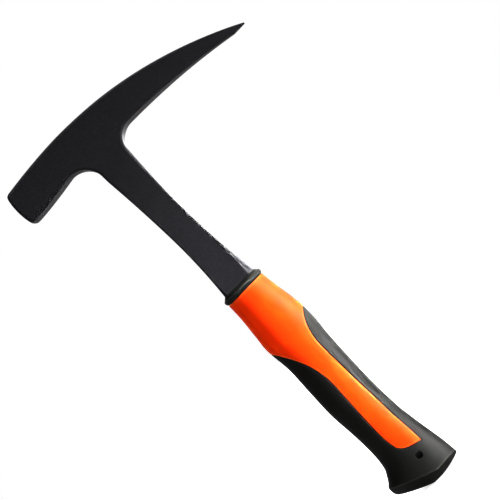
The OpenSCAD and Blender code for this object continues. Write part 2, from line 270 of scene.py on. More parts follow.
def forging():
    face_mid = (poll_z + float(top_z(face_x))) / 2
    fh = POLL_H / 2
    nf = 12
    pairs_a = []
    for k in range(1, nf + 1):
        s = k / (nf + 1.0)
        u = fh * (1 - (1 - s) ** 1.6)
        x = -POLL_LEN + FACE_CROWN * (u / fh) ** 2 + 1.2 * s**6
        pairs_a.append(((x, face_mid - u), (x, face_mid + u * 0.98)))
    n = 30
    for k in range(n + 1):
        x = mix(face_x + 1.6, lf_x, (k / n) ** 1.15)
        pairs_a.append(((x, float(poll_under(x))), (x, float(top_z(x)))))
    n = 84
    pairs_p = []
    for k in range(n + 1):
        x = mix(rf_x, tip_x, k / n)
        pairs_p.append(((x, float(pick_under(x))), (x, float(top_z(x)))))
    pairs_s = []
    n = 26
    for k in range(n + 1):
        a = math.radians(90 * k / n)
        pairs_s.append(((lf_x + FRONT_FILLET * math.sin(a), lf_z + FRONT_FILLET * math.cos(a)),
                        (rf_x - BACK_FILLET * math.sin(a), rf_z + BACK_FILLET * math.cos(a))))
    shank_top = min(lf_z, rf_z) - 3
    n = 66
    for k in range(n + 1):
        z = mix(shank_top, shank_end, k / n)
        pairs_s.append(((-float(edge_front(z)), z), (float(edge_back(z)), z)))
    n = 40
    for k in range(1, n + 1):
        z = mix(shank_end, tang_z, k / n)
        pairs_s.append(((-float(edge_front(z)), z), (float(edge_back(z)), z)))
    NJ = 26  # columns across the shank and along the crest
    MH = 12  # rows across the head
    a, s, p = len(pairs_a) - 1, len(pairs_s) - 1, len(pairs_p) - 1
    out = []

    def put_points(points):
        i = len(out)
        out.extend(points)
        return list(range(i, i + len(points)))

    def between(q0, q1, n):
        return [(mix(q0[0], q1[0], k / n), mix(q0[1], q1[1], k / n)) for k in range(1, n)]

    a_lo = put_points([q[0] for q in pairs_a])
    l_ix = [a_lo[-1]] + put_points([pairs_s[k][0] for k in range(1, s + 1)])
    end_s = put_points(between(pairs_s[s][0], pairs_s[s][1], NJ))
    r_ix = put_points([pairs_s[k][1] for k in range(s, 0, -1)])[::-1]
    p_lo = put_points([q[0] for q in pairs_p])
    r_ix = [p_lo[0]] + r_ix
    end_p = put_points(between(pairs_p[p][0], pairs_p[p][1], MH))
    p_up = put_points([pairs_p[k][1] for k in range(p, -1, -1)])[::-1]
    crest = put_points([(x, float(top_z(x))) for x in (mix(rf_x, lf_x, k / NJ) for k in range(1, NJ))])[::-1]
    a_up = put_points([pairs_a[k][1] for k in range(a, -1, -1)])[::-1]
    end_a = put_points(between(pairs_a[0][1], pairs_a[0][0], MH))[::-1]
    O = np.array(out)
    N = len(O)

    d1 = np.roll(O, -1, 0) - O
    d1 /= np.linalg.norm(d1, axis=1)[:, None]
    t = d1 + np.roll(d1, 1, 0)
    t /= np.linalg.norm(t, axis=1)[:, None]
    # Ease the normals round the sharp corners of the face and the fillet ends.
    for _ in range(2):
        t = t * 2 + np.roll(t, 1, 0) + np.roll(t, -1, 0)
        t /= np.linalg.norm(t, axis=1)[:, None]
    nrm = np.stack([-t[:, 1], t[:, 0]], 1)
    b = bevel_at(O[:, 0], O[:, 1]) / 2.6
    T0 = half_t(O[:, 0], O[:, 1])
    # (inset, depth below the flat side) of each ring, for a bevel 2.6 wide
    prof = [(0.02, 2.62), (0.07, 2.36), (0.18, 2.12), (0.36, 1.88), (0.75, 1.5), (1.3, 1.02), (1.85, 0.56),
            (2.15, 0.33), (2.5, 0.13), (2.95, 0.03), (3.4, 0.0)]

    def crown(x, y):
        """The striking face is domed across its thickness as well."""
        return (0.85 * (np.abs(y) / 11.0) ** 2 + 0.06) * smooth((-POLL_LEN + 5.0 - x) / 4.0)

    def ring_at(inset, depth):
        q = O + nrm * (inset * b)[:, None]
        tt = half_t(q[:, 0], q[:, 1])
        dep = np.minimum(depth * b, tt * 0.72)
        y = tt - dep if inset > 1.0 else mix(T0, tt, inset) - dep
        return q, y

    rings = []
    q0, y0 = ring_at(*prof[0])
    for f in (0.0, 0.3, 0.6, 0.84):
        rings.append(np.stack([O[:, 0], -y0 * f, O[:, 1]], 1))
    for pr in prof:
        q, y = ring_at(*pr)
        rings.append(np.stack([q[:, 0], -y, q[:, 1]], 1))
    R = np.array(rings)
    cap = R[-1]

    def across(i0, i1, m, ends=None):
        if ends:
            return cap[[i0] + ends + [i1]]
        p0, p1 = cap[i0], cap[i1]
        w = np.linspace(0, 1, m + 1)[:, None]
        row = p0 * (1 - w) + p1 * w
        yy = -half_t(row[:, 0], row[:, 2])
        row[1:-1, 1] = yy[1:-1]
        return row

    grids = [np.array([across(a_lo[k], a_up[k], MH, None if k else end_a) for k in range(a + 1)]),
             np.array([across(p_lo[k], p_up[k], MH, end_p if k == p else None) for k in range(p + 1)]),
             np.array([across(l_ix[k], r_ix[k], NJ, end_s if k == s else None) for k in range(s + 1)])]
    chord = across(l_ix[0], r_ix[0], NJ)
    left = across(a_lo[a], a_up[a], MH)
    right = across(p_lo[0], p_up[0], MH)
    tops = [cap[a_up[a]]] + [cap[i] for i in crest] + [cap[p_up[0]]]
    cols = []
    for k in range(NJ + 1):
        if k == 0:
            cols.append(left)
            continue
        if k == NJ:
            cols.append(right)
            continue
        w = np.linspace(0, 1, MH + 1)[:, None]
        col = chord[k] * (1 - w) + tops[k] * w
        col[1:-1, 1] = -half_t(col[1:-1, 0], col[1:-1, 2])
        cols.append(col)
    grids.append(np.array(cols))

    def finish(pts):
        pts = pts.copy()
        pts[..., 0] += crown(pts[..., 0], pts[..., 1])
        pts[..., 2] = np.minimum(pts[..., 2], OVERALL_H - 0.012)
        return pts

    m = Mesh()
    # painted highlight on the bevel rings round the head, fading out below z = 200
    painted_highlight_rings = np.zeros(R.shape[:2])
    for k, w in ((4, 0.35), (5, 1.0), (6, 1.0), (7, 0.5), (11, 0.5), (12, 0.9), (13, 0.4)):
        painted_highlight_rings[k] = w * smooth((O[:, 1] - 200) / 40)
    for side in (1, -1):
        f = np.array([1, side, 1])
        m.grid(finish(R) * f, closed=True, painted_highlight=painted_highlight_rings)
        for g in grids:
            m.grid(finish(g) * f)
    return m.out("forging", weld=2e-3)


# ---------------------------------------------------------------------------
# Grip: one rounded surface, unrolled to a flat sheet (U round the half
# section, V up the axis), triangulated along the edge of the window in the
# rubber, and folded back. Both halves are alike.
# ---------------------------------------------------------------------------
GRIP_FRONT = [(0, 21.6), (2, 22.2), (5, 21.8), (11, 19.8), (16, 17.8), (21, 15.9), (30, 14.7), (40, 14.5), (50, 14.8),
              (66, 15.8), (84, 15.2), (101, 14.5), (117, 15.7), (127, 14.7), (139, 13.4), (149.8, 13)]
GRIP_BACK = [(0, 20.2), (6, 19.5), (14, 18.4), (20, 17.5), (33, 15.6), (43, 14.4), (58, 13.8), (78, 14.2), (101, 15.4),
             (112, 16.4), (122, 16.5), (130, 15.6), (139, 14.2), (149.8, 13)]
GRIP_THICK = [(0, 12.2), (12, 12.2), (25, 11.7), (42, 11.7), (62, 12.2), (84, 12.3), (105, 12.2), (120, 11.9),
              (135, 11.3), (149.8, 10.7)]
WINDOW_BACK = [(22.6, 10.6), (32.7, 10.1), (44.6, 9.3), (60.6, 8.9), (80.5, 8.4), (96.4, 8.2), (104.9, 8.7),
               (112.5, 10.9), (118, 14.1), (122.2, 17.5)]
WINDOW_FRONT = [(29.4, 2.9), (36.8, 4.1), (50.7, 3.9), (66.6, 3.1), (82.5, 2.5), (93.4, 4.5), (102.4, 8.3),
                (109.2, 12.3), (116.5, 17.5)]
WINDOW_FOOT = [(-2.9, 29.4), (-0.8, 27.0), (1.6, 25.5), (4.3, 24.5), (7.3, 23.6), (10.6, 22.6)]


def butt_z(x):
    r = 2.4 * (clamp(x - 5, 0, None) / 15) ** 1.3
    l = 8.2 * (clamp(-1 - x, 0, None) / 19) ** 1.1
    return np.where(x > 5, r, np.where(x < -1, l, 0.0))


BUTT_EDGE = [(-21, 1), (-16, 1.7), (-10.8, 2.05), (-6.9, 2.15), (-2.35, 2.15), (1.2, 1.4), (4.5, 0.1), (9.2, -0.5),
             (13.4, -1.2), (19.9, -3.3)]
W_TAB = [(0, 1.0), (2.6, 0.98), (5.2, 0.95), (12, 0.675), (16, 0.57), (22, 0.4155), (30, 0.2176), (40, 0.0)]
V_EDGE = 5.2  # the butt's crisp edge


def edge_share(V):
    return np.where(V < V_EDGE, V / V_EDGE, clamp((12 - V) / (12 - V_EDGE), 0, 1) ** 1.3)


def lift(x, V):
    return curve(W_TAB, V) * butt_z(x) + edge_share(V) * curve(BUTT_EDGE, x)


# Arc length round a middle section, as the map from U to the section's angle.
_phi = np.linspace(0, math.pi, 6001)
_rx = 15.5 * np.sign(np.cos(_phi)) * np.abs(np.cos(_phi)) ** (2 / SECTION_N)
_ry = 12.2 * np.abs(np.sin(_phi)) ** (2 / SECTION_N)
_arc = np.concatenate([[0], np.cumsum(np.hypot(np.diff(_rx), np.diff(_ry)))])
UMAX = float(_arc[-1])


def soft_min(v, lim, r):
    """min(v, lim) with its corner rounded over r."""
    return 0.5 * (v + lim - np.sqrt((v - lim) ** 2 + r * r))


def section(v):
    f = curve(GRIP_FRONT, v)
    b = curve(GRIP_BACK, v)
    t = curve(GRIP_THICK, v) * GRIP_HALF_T / 12.3
    k = 0.62 + 0.38 * soft_min(v / V_EDGE, 1.0, 0.03)
    inset = 0.5 * clamp(1 - v / V_EDGE, 0, 1) ** 1.5
    # the very end is rounded over
    end = 0.6 * (1 - np.sqrt(clamp(1 - (1 - clamp(v / 0.6, 0, 1)) ** 2, 0, 1)))
    return (b - f) / 2, (b + f) / 2 - inset - end, t * k - inset * 0.3 - end


def surface(U, V, off=0.0):
    """Points of the front half (y <= 0), off millimetres inside the skin."""
    U, V = np.asarray(U, float), np.asarray(V, float)
    cx, a, t = section(V)
    phi = np.interp(U, _arc, _phi)
    c, s = np.cos(phi), np.sin(phi)
    x = cx + (a - off) * np.sign(c) * np.abs(c) ** (2 / SECTION_N)
    y = -(t - off) * np.abs(s) ** (2 / SECTION_N)
    y = np.where(np.abs(s) < 1e-9, 0.0, y)
    z = V + lift(x, V)
    return np.stack([x, y, z], -1)


def unroll(x, z):
    """(U, V) of a point on the front half seen from the front."""
    x, z = np.asarray(x, float), np.asarray(z, float)
    V = z.copy()
    for _ in range(40):
        V = z - lift(x, V)
    cx, a, t = section(V)
    r = clamp((x - cx) / a, -1, 1)
    c = np.sign(r) * np.abs(r) ** (SECTION_N / 2)
    return np.interp(np.arccos(clamp(c, -1, 1)), _phi, _arc), V


def resample(P, step):
    d = np.concatenate([[0], np.cumsum(np.linalg.norm(np.diff(P, axis=0), axis=1))])
    n = max(2, int(round(d[-1] / step)))
    s = np.linspace(0, d[-1], n + 1)
    return np.stack([np.interp(s, d, P[:, 0]), np.interp(s, d, P[:, 1])], 1)


def window_edge():
    """The rubber's edge in (U, V): from the palm seam down to the stripe's
    point, along its foot, and up to the finger seam."""
    z = np.concatenate([np.linspace(22.6, 116, 400), np.linspace(116, 122.2, 900)])
    x = curve(WINDOW_BACK, z)
    keep = x < curve(GRIP_BACK, z) - 1e-3
    z0 = z[keep].max()
    z, x = z[z <= z0], x[z <= z0]
    U, V = unroll(x, z)
    back = np.stack([U, V], 1)[::-1]
    back = np.vstack([[0.0, back[0, 1]], back[back[:, 0] > 0.05]])
    foot = np.array(WINDOW_FOOT)
    # a smooth line through the foot's points
    tt = np.linspace(0, len(foot) - 1, 200)
    k = np.arange(len(foot))
    fx = curve(np.stack([k, foot[:, 0]], 1), tt)
    fz = curve(np.stack([k, foot[:, 1]], 1), tt)
    U, V = unroll(fx, fz)
    mid = np.stack([U, V], 1)[::-1]
    z = np.concatenate([np.linspace(29.4, 110, 400), np.linspace(110, 116.5, 900)])
    x = -curve(WINDOW_FRONT, z)
    keep = -x < curve(GRIP_FRONT, z) - 1e-3
    z0 = z[keep].max()
    z, x = z[z <= z0], x[z <= z0]
    U, V = unroll(x, z)
    front = np.stack([U, V], 1)
    front = np.vstack([front[front[:, 0] < UMAX - 0.05], [UMAX, front[-1, 1]]])
    return back, mid, front


def seg_distance(P, line, chunk=4000):
    """Distance of points to a polyline."""
    A, B = line[:-1], line[1:]
    AB = B - A
    L2 = (AB**2).sum(1)
    out = np.empty(len(P))
    for i in range(0, len(P), chunk):
        Q = P[i:i + chunk]
        t = clamp(((Q[:, None] - A) * AB).sum(2) / L2, 0, 1)
        D = Q[:, None] - (A + t[..., None] * AB)
        out[i:i + chunk] = np.sqrt((D**2).sum(2).min(1))
    return out


def inside(P, poly):
    """Even-odd test."""
    x, y = P[:, 0][:, None], P[:, 1][:, None]
    x0, y0 = poly[:, 0], poly[:, 1]
    x1, y1 = np.roll(x0, -1), np.roll(y0, -1)
    cond = (y0 > y) != (y1 > y)
    with np.errstate(divide="ignore", invalid="ignore"):
        xi = x0 + (y - y0) * (x1 - x0) / (y1 - y0)
    return ((cond & (x < xi)).sum(1) % 2) == 1


V_CORE = 21.0   # the core ends here, inside the butt
ROUND_R = 0.6   # rounding along the edge between the two materials
SKIN_GAP = 0.02


def edge_depth(d, r=ROUND_R):
    """How deep the rounded edge lies at distance d from the joint line."""
    u = clamp(1 - d / r, 0, 1)
    return r * (1 - np.sqrt(clamp(1 - u * u, 0, 1)))


def sheet():
    back, mid, front = window_edge()
    B = np.vstack([resample(back, 0.55), resample(mid, 0.5)[1:], resample(front, 0.55)[1:]])
    hole_r = LANYARD_D / 2
    na = 36
    ang = np.linspace(0, 2 * math.pi, na, endpoint=False)

    def circle(r):
        U, V = unroll(LANYARD_X + r * np.cos(ang), LANYARD_Z + r * np.sin(ang))
        return np.stack([U, V], 1)

    hole = circle(hole_r)
    pts, edges, kind = [], [], []

    def chain(P, closed=False):
        i0 = sum(len(q) for q in pts)
        pts.append(P)
        n = len(P)
        for k in range(n - 1):
            edges.append((i0 + k, i0 + k + 1))
        if closed:
            edges.append((i0 + n - 1, i0))
        return i0

    rows = [0.0, 0.05, 0.15, 0.32, 0.6, 1.3, 2.4, 3.5, 4.3, 4.75, 5.0, 5.2, 5.4, 5.65, 6.1]
    top_rows = [MOUTH_Z, MOUTH_Z - 0.08, MOUTH_Z - 0.24, MOUTH_Z - 0.5, MOUTH_Z - 0.95]
    chain(B)
    chain(hole, True)
    nu = 52
    for v in rows + [V_CORE]:
        chain(np.stack([np.linspace(0, UMAX, nu + 1), np.full(nu + 1, v)], 1))
    for v in top_rows:
        chain(np.stack([np.linspace(0, UMAX, nu + 1), np.full(nu + 1, v)], 1))
    fixed_v = np.array(rows + [V_CORE] + top_rows)
    # the two seams
    for u, vb in ((0.0, B[0, 1]), (UMAX, B[-1, 1])):
        vs = np.concatenate([np.arange(6.6, MOUTH_Z - 1.6, 0.85), [vb]])
        vs = vs[(np.abs(vs - V_CORE) > 0.4)]
        vs = vs[(np.abs(vs - vb) > 0.4) | (vs == vb)]
        extra = vb + np.array([-1.4, -0.8, -0.42, -0.2, -0.08, 0.08, 0.2, 0.42, 0.8, 1.4])
        vs = np.concatenate([vs[(np.abs(vs - vb) > 1.8) | (vs == vb)], extra])
        vs = np.unique(np.round(np.concatenate([vs, fixed_v]), 6))
        chain(np.stack([np.full(len(vs), u), vs], 1))
    # rows of points beside the joint line
    for off in (0.08, 0.2, 0.42, 0.8, 1.4):
        t = np.gradient(B, axis=0)
        t /= np.linalg.norm(t, axis=1)[:, None]
        nrm = np.stack([-t[:, 1], t[:, 0]], 1)
        for sgn in (1, -1):
            Q = B + nrm * off * sgn
            ok = (Q[:, 0] > 0.3) & (Q[:, 0] < UMAX - 0.3) & (Q[:, 1] > 6.6)
            ok &= np.abs(Q[:, 1] - V_CORE) > 0.12
            Q = Q[ok]
            Q = Q[seg_distance(Q, B) > off * 0.93]
            pts.append(Q)
    for r in (hole_r + 0.08, hole_r + 0.2, hole_r + 0.42, hole_r + 0.8, hole_r + 1.4):
        pts.append(circle(r))
    # filler
    h = 0.95
    vv = np.arange(6.7, MOUTH_Z - 1.7, h * 0.866)
    F = []
    for k, v in enumerate(vv):
        u = np.arange(0.55 + (h / 2 if k % 2 else 0), UMAX - 0.5, h)
        F.append(np.stack([u, np.full(len(u), v)], 1))
    F = np.vstack(F)
    F = F[seg_distance(F, B) > 1.9]
    F = F[np.abs(F[:, 1] - V_CORE) > 0.45]
    hc = unroll(np.array([LANYARD_X]), np.array([LANYARD_Z]))
    F = F[np.hypot(F[:, 0] - hc[0], F[:, 1] - hc[1]) > hole_r + 1.9]
    pts.append(F)
    P = np.vstack(pts)
    # triangulate along the chains; points within 1e-4 of each other merge
    res = delaunay_2d_cdt([Vector(q) for q in P], edges, [], 0, 1e-4)
    Q = np.array([tuple(v) for v in res[0]])
    T = []
    for f in res[2]:
        for k in range(1, len(f) - 1):
            T.append((f[0], f[k], f[k + 1]))
    T = np.array(T)
    # keep the rectangle
    cen = Q[T].mean(1)
    ok = (cen[:, 0] > 0) & (cen[:, 0] < UMAX) & (cen[:, 1] > 0) & (cen[:, 1] < MOUTH_Z)
    ar = np.abs(np.cross(Q[T[:, 1]] - Q[T[:, 0]], Q[T[:, 2]] - Q[T[:, 0]]))
    ok &= ar > 1e-9
    T, cen = T[ok], cen[ok]
    poly = np.vstack([B, [[UMAX, MOUTH_Z + 5], [0.0, MOUTH_Z + 5]]])
    orange = inside(cen, poly)
    in_hole = inside(cen, hole)
    return Q, T, orange, in_hole, B, hole, cen


def edge_set(T):
    e = np.sort(np.vstack([T[:, [0, 1]], T[:, [1, 2]], T[:, [2, 0]]]), axis=1)
    return e


def border(T):
    """Directed edges that belong to one triangle of T only."""
    from collections import Counter
    e = [tuple(x) for x in np.vstack([T[:, [0, 1]], T[:, [1, 2]], T[:, [2, 0]]])]
    c = Counter(tuple(sorted(x)) for x in e)
    return [x for x in e if c[tuple(sorted(x))] == 1]


def tang_loop(z, extra, n_dirs):
    """Outline of the shank or tang at height z, grown by extra, seen along
    the unit directions n_dirs."""
    f, b, t = float(edge_front(z)) + extra, float(edge_back(z)) + extra, float(half_side(z)) + extra
    bev = 1.0 + 0.35 * float(smooth((z - 132) / 8))
    bb = bev + 1.1 * float(neck(z))
    poly = np.array([(b - bb, -t), (b, -t + bb), (b, t - bb), (b - bb, t), (-f + bev, t), (-f, t - bev),
                     (-f, -t + bev), (-f + bev, -t)])
    out = []
    for d in n_dirs:
        best = None
        for k in range(8):
            p, q = poly[k], poly[(k + 1) % 8]
            e = q - p
            den = d[0] * e[1] - d[1] * e[0]
            if abs(den) < 1e-12:
                continue
            s = (p[0] * e[1] - p[1] * e[0]) / den
            w = (p[0] * d[1] - p[1] * d[0]) / den
            if s > 0 and -1e-9 <= w <= 1 + 1e-9:
                best = s if best is None else min(best, s)
        out.append(d * best)
    return np.array(out)


def oval_loop(w, t, e, n_dirs):
    d = np.asarray(n_dirs)
    r = (np.abs(d[:, 0] / w) ** e + np.abs(d[:, 1] / t) ** e) ** (-1 / e)
    return d * r[:, None]


MOUTH_W = 13.0
MOUTH_T = 10.7 * GRIP_HALF_T / 12.3
SKIRT_W, SKIRT_T = MOUTH_W - 1.2, MOUTH_T - 1.4


def grip():
    Q, T, orange, in_hole, B, hole, cen = sheet()
    dB = seg_distance(Q, B)
    hp = np.vstack([hole, hole[:1]])
    dH = seg_distance(Q, hp)
    top = clamp(MOUTH_Z - Q[:, 1], 0, None)
    d_or = np.minimum(dB, top)
    outer_or = surface(Q[:, 0], Q[:, 1], edge_depth(d_or))
    outer_bk = surface(Q[:, 0], Q[:, 1], np.maximum(edge_depth(dB), edge_depth(dH, 0.35)))
    T_or = T[orange]
    T_bk = T[~orange & ~in_hole]
    # black triangles above the end of the core have a skin under them
    above = cen[~orange & ~in_hole][:, 1] > V_CORE
    T_in = T_bk[above]
    joint = [e for e in border(T_or) if not on_frame(Q, e)]
    # painted highlight: the orange is lighter in a band about 0.5 mm from its edge
    painted_highlight_or = np.exp(-(((d_or - 0.5) / 0.42) ** 2))
    # painted highlight along the butt's crisp edge and in a ring round the lanyard hole's rim
    crisp_edge_highlight = np.exp(-(((Q[:, 1] - V_EDGE - 0.1) / 0.45) ** 2))
    painted_highlight_bk = np.maximum(crisp_edge_highlight, 0.45 * np.exp(-(((dH - 0.4) / 0.3) ** 2)))
    flat = np.array([1, -1, 1])

    # ---- hard core ----
    m = Mesh()
    inner = surface(Q[:, 0], Q[:, 1], RUBBER_T + SKIN_GAP)
    for side in (1, -1):
        f = flat if side < 0 else np.ones(3)
        io = m.add(outer_or * f, painted_highlight_or)
        ii = m.add(inner * f)
        m.faces([tuple(io[list(t)]) for t in T_or])
        m.faces([tuple(ii[list(t)]) for t in T_in])
        steps = np.linspace(0, 1, 4)
        prev = io
        deep = {}
        for w in steps[1:-1]:
            dd = mix(ROUND_R, RUBBER_T + SKIN_GAP, w)
            deep[w] = m.add(surface(Q[:, 0], Q[:, 1], dd) * f)
        seq = [io] + [deep[w] for w in steps[1:-1]] + [ii]
        for a, b in zip(seq[:-1], seq[1:]):
            m.faces([(a[e[0]], a[e[1]], b[e[1]], b[e[0]]) for e in joint])
    # foot of the core: a strip from the front row to the back row
    row = np.where(np.abs(Q[:, 1] - V_CORE) < 1e-5)[0]
    row = row[np.argsort(Q[row, 0])]
    foot = inner[row]
    m.grid(np.stack([foot * mix(1, 0, w) * [0, 1, 0] + foot * [1, 0, 1] - foot * [0, 1, 0] * w
                     for w in np.linspace(0, 1, 9)]))
    # the mouth, and the cavity that holds the collar's skirt and the tang
    row = np.where(np.abs(Q[:, 1] - MOUTH_Z) < 1e-5)[0]
    row = row[np.argsort(Q[row, 0])]
    rim = outer_or[row]
    loop = np.vstack([rim, (rim * flat)[1:-1][::-1]])
    dirs = loop[:, :2] / np.linalg.norm(loop[:, :2], axis=1)[:, None]

    def at(xy, z):
        return np.column_stack([xy, np.full(len(xy), z)])

    z_s = MOUTH_Z - SKIRT_H - 0.1
    loops = [loop, at(mix(loop[:, :2], oval_loop(SKIRT_W + 0.03, SKIRT_T + 0.03, 2.4, dirs), 0.5), MOUTH_Z),
             at(oval_loop(SKIRT_W + 0.03, SKIRT_T + 0.03, 2.4, dirs), MOUTH_Z),
             at(oval_loop(SKIRT_W + 0.03, SKIRT_T + 0.03, 2.4, dirs), MOUTH_Z - 3),
             at(oval_loop(SKIRT_W + 0.03, SKIRT_T + 0.03, 2.4, dirs), z_s)]
    for z in np.concatenate([np.linspace(z_s, tang_top, 8), np.linspace(tang_top - 6, tang_z - 0.03, 12)]):
        loops.append(at(tang_loop(float(z), 0.03, dirs), float(z)))
    m.grid(np.array(loops), closed=True)
    last = loops[-1]
    n = len(rim)
    a, b = last[:n], np.vstack([last[:1], last[n:][::-1], last[n - 1:n]])
    m.grid(np.stack([a, b]))
    core = m.out("core", weld=2e-3)

    # ---- soft overmould ----
    m = Mesh()
    inner = surface(Q[:, 0], Q[:, 1], RUBBER_T)
    jb = [e for e in border(T_bk) if not on_frame(Q, e) and seg_on(Q, e, dB)]
    jh = [e for e in border(T_bk) if seg_on(Q, e, dH)]
    hole_pts = []
    for side in (1, -1):
        f = flat if side < 0 else np.ones(3)
        io = m.add(outer_bk * f, painted_highlight_bk)
        ii = m.add(inner * f)
        m.faces([tuple(io[list(t)]) for t in T_bk])
        m.faces([tuple(ii[list(t)])[::-1] for t in T_in])
        seq = [io]
        for w in (1 / 3, 2 / 3):
            seq.append(m.add(surface(Q[:, 0], Q[:, 1], mix(ROUND_R, RUBBER_T, w)) * f))
        seq.append(ii)
        for a, b in zip(seq[:-1], seq[1:]):
            m.faces([(a[e[0]], a[e[1]], b[e[1]], b[e[0]]) for e in jb])
        hole_pts.append(io)
    # the lanyard hole's wall
    A = outer_bk
    n = 10
    prev = hole_pts[0]
    for k in range(1, n + 1):
        if k < n:
            P = A.copy()
            P[:, 1] = A[:, 1] * (1 - 2 * k / n)
            cur = m.add(P)
        else:
            cur = hole_pts[1]
        m.faces([(prev[e[0]], prev[e[1]], cur[e[1]], cur[e[0]]) for e in jh])
        prev = cur
    # floor of the pocket, and the butt's end
    row = np.where(np.abs(Q[:, 1] - V_CORE) < 1e-5)[0]
    row = row[np.argsort(Q[row, 0])]
    for pts, cols in ((inner[row], 9), (outer_bk[end_row(Q)], 13)):
        m.grid(np.stack([pts * [1, 0, 1] + pts * [0, 1, 0] * (1 - 2 * w) for w in np.linspace(0, 1, cols)]))
    rubber = m.out("overmould", weld=2e-3)
    return core, rubber


def end_row(Q):
    row = np.where(np.abs(Q[:, 1]) < 1e-5)[0]
    return row[np.argsort(Q[row, 0])]


def on_frame(Q, e):
    a, b = Q[e[0]], Q[e[1]]
    for k, v in ((0, 0.0), (0, UMAX), (1, 0.0), (1, MOUTH_Z)):
        if abs(a[k] - v) < 1e-5 and abs(b[k] - v) < 1e-5:
            return True
    return False


def seg_on(Q, e, d):
    return d[e[0]] < 1e-4 and d[e[1]] < 1e-4


# ---------------------------------------------------------------------------
# Collar
# ---------------------------------------------------------------------------
def collar():
    n = 128
    th = np.linspace(0, 2 * math.pi, n, endpoint=False)
    dirs = np.stack([np.cos(th), np.sin(th)], 1)
    w0, t0 = MOUTH_W, MOUTH_T
    w1, t1 = w0 + COLLAR_PROUD, t0 + COLLAR_PROUD
    zt = MOUTH_Z + COLLAR_H
    prof = [  # (half width, half thickness, z, section exponent)
        (SKIRT_W, SKIRT_T, MOUTH_Z - SKIRT_H, 2.4), (SKIRT_W, SKIRT_T, MOUTH_Z - SKIRT_H + 0.4, 2.4),
        (SKIRT_W, SKIRT_T, MOUTH_Z - 0.4, 2.4), (SKIRT_W, SKIRT_T, MOUTH_Z, 2.4),
        (SKIRT_W + 0.2, SKIRT_T + 0.2, MOUTH_Z + 0.02, 2.35)]
    prof += [(w0 + g, t0 + g, MOUTH_Z + z, SECTION_N) for g, z in (
        (-0.55, 0.04), (-0.2, 0.14), (0.04, 0.36), (0.26, 0.66), (0.48, 1.0), (0.62, 1.3), (0.69, 1.6), (0.7, 2.0),
        (0.68, 2.4), (0.6, 2.66), (0.42, 2.86), (0.16, 3.0))]
    last = prof[-1]
    top = (w0 - 1.75, t0 - 3.0, zt - 0.14, 3.8)
    prof += [tuple(mix(p, q, u) for p, q in zip(last, top)) for u in (0.2, 0.4, 0.6, 0.8, 1.0)]
    prof += [(w0 - 1.9, t0 - 3.25, zt - 0.03, 3.9), (w0 - 2.05, t0 - 3.45, zt, 4.0)]
    rings = [np.column_stack([oval_loop(w, t, e, dirs), np.full(n, z)]) for w, t, z, e in prof]
    for z in (zt - 0.02, zt - 0.6, MOUTH_Z + 2, MOUTH_Z - 2, MOUTH_Z - 5, MOUTH_Z - SKIRT_H):
        xy = tang_loop(float(z), 0.03, dirs)
        if z > zt - 0.1:
            xy = mix(xy, rings[-1][:, :2], 0.35)
        rings.append(np.column_stack([xy, np.full(n, z)]))
    rings.append(rings[0])
    m = Mesh()
    # painted highlight on the collar's rounded rim corners
    painted_highlight_rings = np.zeros((len(rings), n))
    for k, w in ((12, 0.2), (13, 0.5), (14, 0.9), (15, 1.0), (16, 0.6), (21, 0.5), (22, 0.8)):
        painted_highlight_rings[k] = w
    m.grid(np.array(rings), closed=True, painted_highlight=painted_highlight_rings)
    return m.out("collar", weld=1e-3)


# ---------------------------------------------------------------------------
# Materials
# ---------------------------------------------------------------------------
def material(name):
    mat = bpy.data.materials.new(name)
    mat.use_nodes = True
    nt = mat.node_tree
    nt.nodes.clear()
    out = nt.nodes.new("ShaderNodeOutputMaterial")
    bsdf = nt.nodes.new("ShaderNodeBsdfPrincipled")
    nt.links.new(bsdf.outputs[0], out.inputs["Surface"])
    tc = nt.nodes.new("ShaderNodeTexCoord")
    return mat, nt, bsdf, tc


def noise(nt, tc, scale, detail=2.0, rough=0.5, dist=0.0, coord="Object"):
    n = nt.nodes.new("ShaderNodeTexNoise")
    n.inputs["Scale"].default_value = scale
    n.inputs["Detail"].default_value = detail
    n.inputs["Roughness"].default_value = rough
    n.inputs["Distortion"].default_value = dist
    nt.links.new(tc.outputs[coord], n.inputs["Vector"])
    return n.outputs["Fac"]


def ramp(nt, fac, stops):
    r = nt.nodes.new("ShaderNodeValToRGB")
    r.color_ramp.elements.remove(r.color_ramp.elements[1])
    for k, (p, c) in enumerate(stops):
        e = r.color_ramp.elements[0] if k == 0 else r.color_ramp.elements.new(p)
        e.position = p
        e.color = (c[0], c[1], c[2], 1) if len(c) == 3 else c
    nt.links.new(fac, r.inputs["Fac"])
    return r.outputs["Color"]


def map_range(nt, v, a, b, c, d):
    n = nt.nodes.new("ShaderNodeMapRange")
    for k, x in zip((1, 2, 3, 4), (a, b, c, d)):
        n.inputs[k].default_value = x
    nt.links.new(v, n.inputs[0])
    return n.outputs[0]


def bump(nt, height, strength, distance, normal=None):
    b = nt.nodes.new("ShaderNodeBump")
    b.inputs["Strength"].default_value = strength
    b.inputs["Distance"].default_value = distance
    nt.links.new(height, b.inputs["Height"])
    if normal is not None:
        nt.links.new(normal, b.inputs["Normal"])
    return b.outputs["Normal"]


def painted_highlight_colour(nt, tc, colour, highlight_tint, amount):
    """The colour, painted lighter as an edge highlight where the mesh says so, a little unevenly."""
    at = nt.nodes.new("ShaderNodeAttribute")
    at.attribute_name = "painted_highlight"
    uneven = map_range(nt, noise(nt, tc, 700, 3.0, 0.6), 0.3, 0.7, 0.55 * amount, 1.1 * amount)
    f = nt.nodes.new("ShaderNodeMath")
    f.operation = "MULTIPLY"
    nt.links.new(at.outputs["Fac"], f.inputs[0])
    nt.links.new(uneven, f.inputs[1])
    m = nt.nodes.new("ShaderNodeMix")
    m.data_type = "RGBA"
    nt.links.new(f.outputs[0], m.inputs["Factor"])
    nt.links.new(colour, m.inputs[6])
    m.inputs[7].default_value = (*highlight_tint, 1)
    return m.outputs[2]


